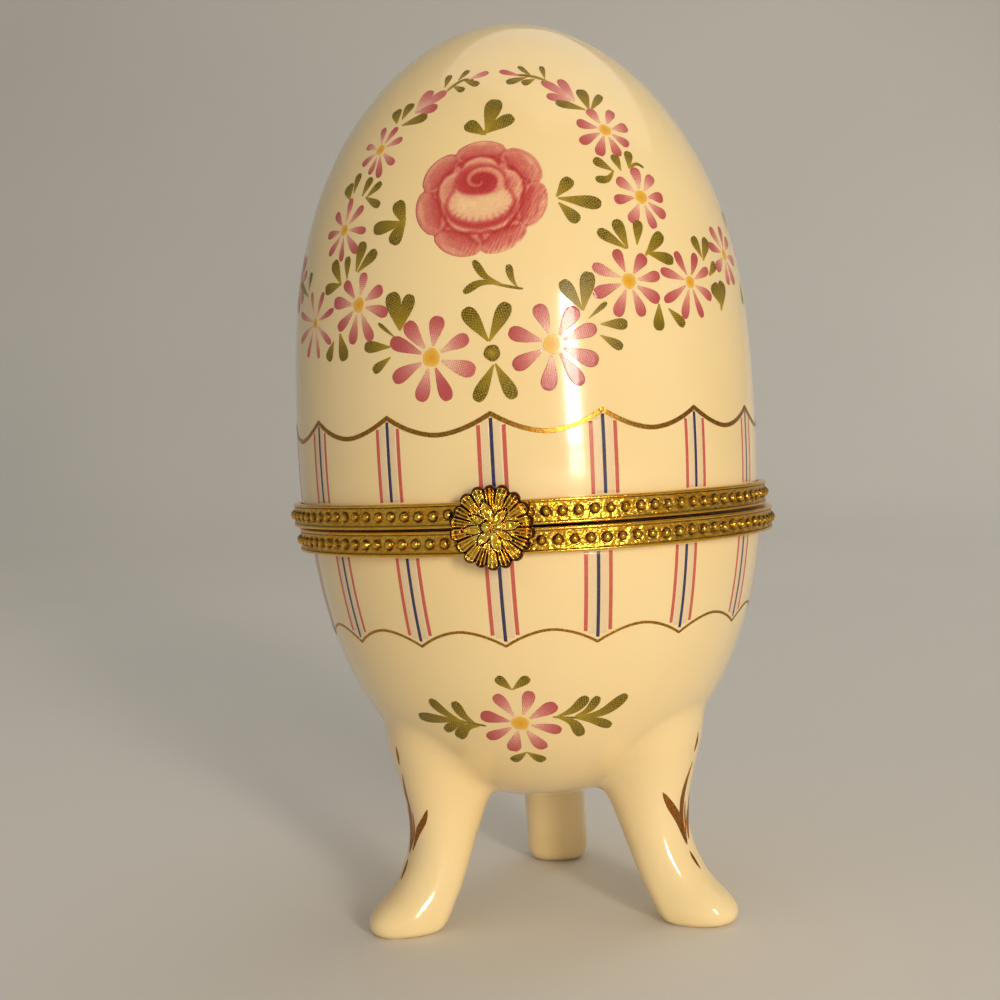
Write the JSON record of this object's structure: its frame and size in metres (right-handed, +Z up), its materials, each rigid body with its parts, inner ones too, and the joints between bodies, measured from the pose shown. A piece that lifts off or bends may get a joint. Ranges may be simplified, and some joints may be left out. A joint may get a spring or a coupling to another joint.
{
  "type": "footed egg trinket box",
  "caption": "Egg-shaped porcelain trinket box on three feet, hollow, with a hinged lid, beaded gilt-brass rims, a flower clasp and painted garlands.",
  "frame": {"origin": "on the floor, midway between the extremes of the box, under the egg's axis", "axes": "+Z up, -Y towards the clasp, +Y towards the hinge, +X to the right as seen from the clasp side"},
  "size_m": [0.067, 0.0717, 0.1233],
  "materials": {
    "porcelain_base": "gloss",
    "porcelain_lid": "gloss",
    "rim_brass": "satin",
    "clasp_brass": "satin",
    "hinge_brass": "satin"
  },
  "bodies": {
    "base": {"base_shell": "porcelain_base", "base_rim": "rim_brass", "hinge_leaf_base": "hinge_brass", "hinge_pin": "hinge_brass"},
    "lid": {"lid_shell": "porcelain_lid", "lid_rim": "rim_brass", "clasp_flower": "clasp_brass", "hinge_leaf_lid": "hinge_brass"}
  },
  "joints": [
    {"name": "lid_hinge", "type": "hinge", "parent": "base", "child": "lid", "pos_m": [0, 0.03485, 0.0553], "axis": [-1, 0, 0], "range_deg": [0, 100]}
  ]
}
